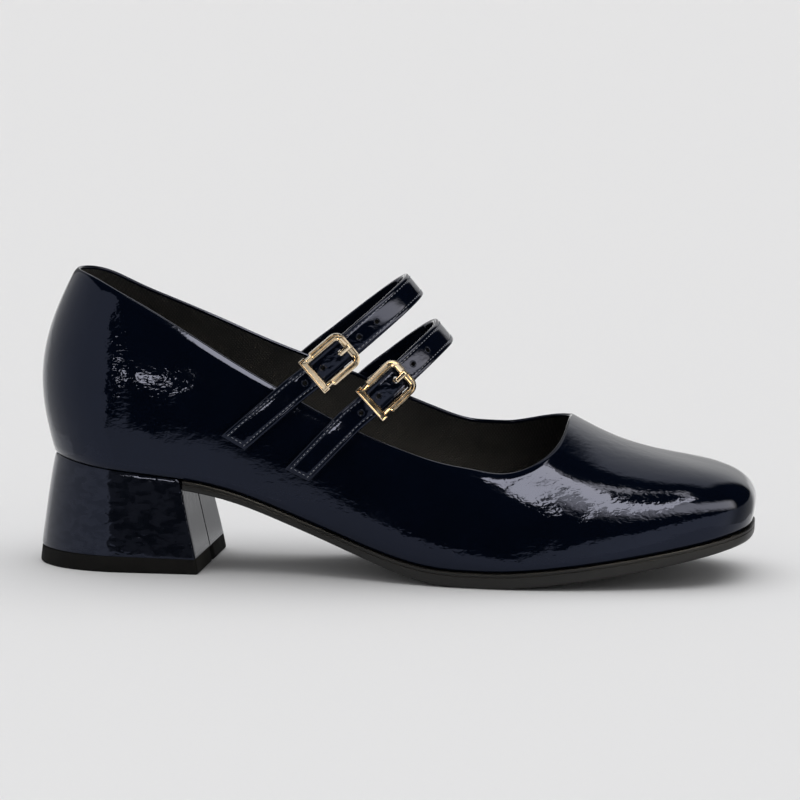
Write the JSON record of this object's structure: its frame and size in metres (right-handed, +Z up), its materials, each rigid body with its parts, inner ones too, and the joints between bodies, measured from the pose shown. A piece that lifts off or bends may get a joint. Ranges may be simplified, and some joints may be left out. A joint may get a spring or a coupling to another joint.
{
  "type": "mary jane pump",
  "caption": "Right mary jane pump: glossy leather shell on a thin sole and a flared block heel, with buckled straps over the instep.",
  "frame": {"origin": "middle of the footprint, on the floor", "axes": "+X toward the toe, -Y outer side of the right foot, +Z up"},
  "size_m": [0.2508, 0.08, 0.1043],
  "materials": {
    "patent_leather": "high-gloss navy patent with a fine crinkle",
    "lining": "matt black lining",
    "outsole": "satin black",
    "heel_rubber": "matt black",
    "buckle_metal": "polished pale gold plating"
  },
  "bodies": {
    "root": {"upper": "patent_leather", "insole": "lining", "outsole": "outsole", "heel": "patent_leather", "heel_top_piece": "heel_rubber", "strap_rear": "patent_leather", "strap_front": "patent_leather", "buckle_frame_rear": "buckle_metal", "buckle_frame_front": "buckle_metal", "buckle_prong_rear": "buckle_metal", "buckle_prong_front": "buckle_metal"}
  },
  "joints": []
}
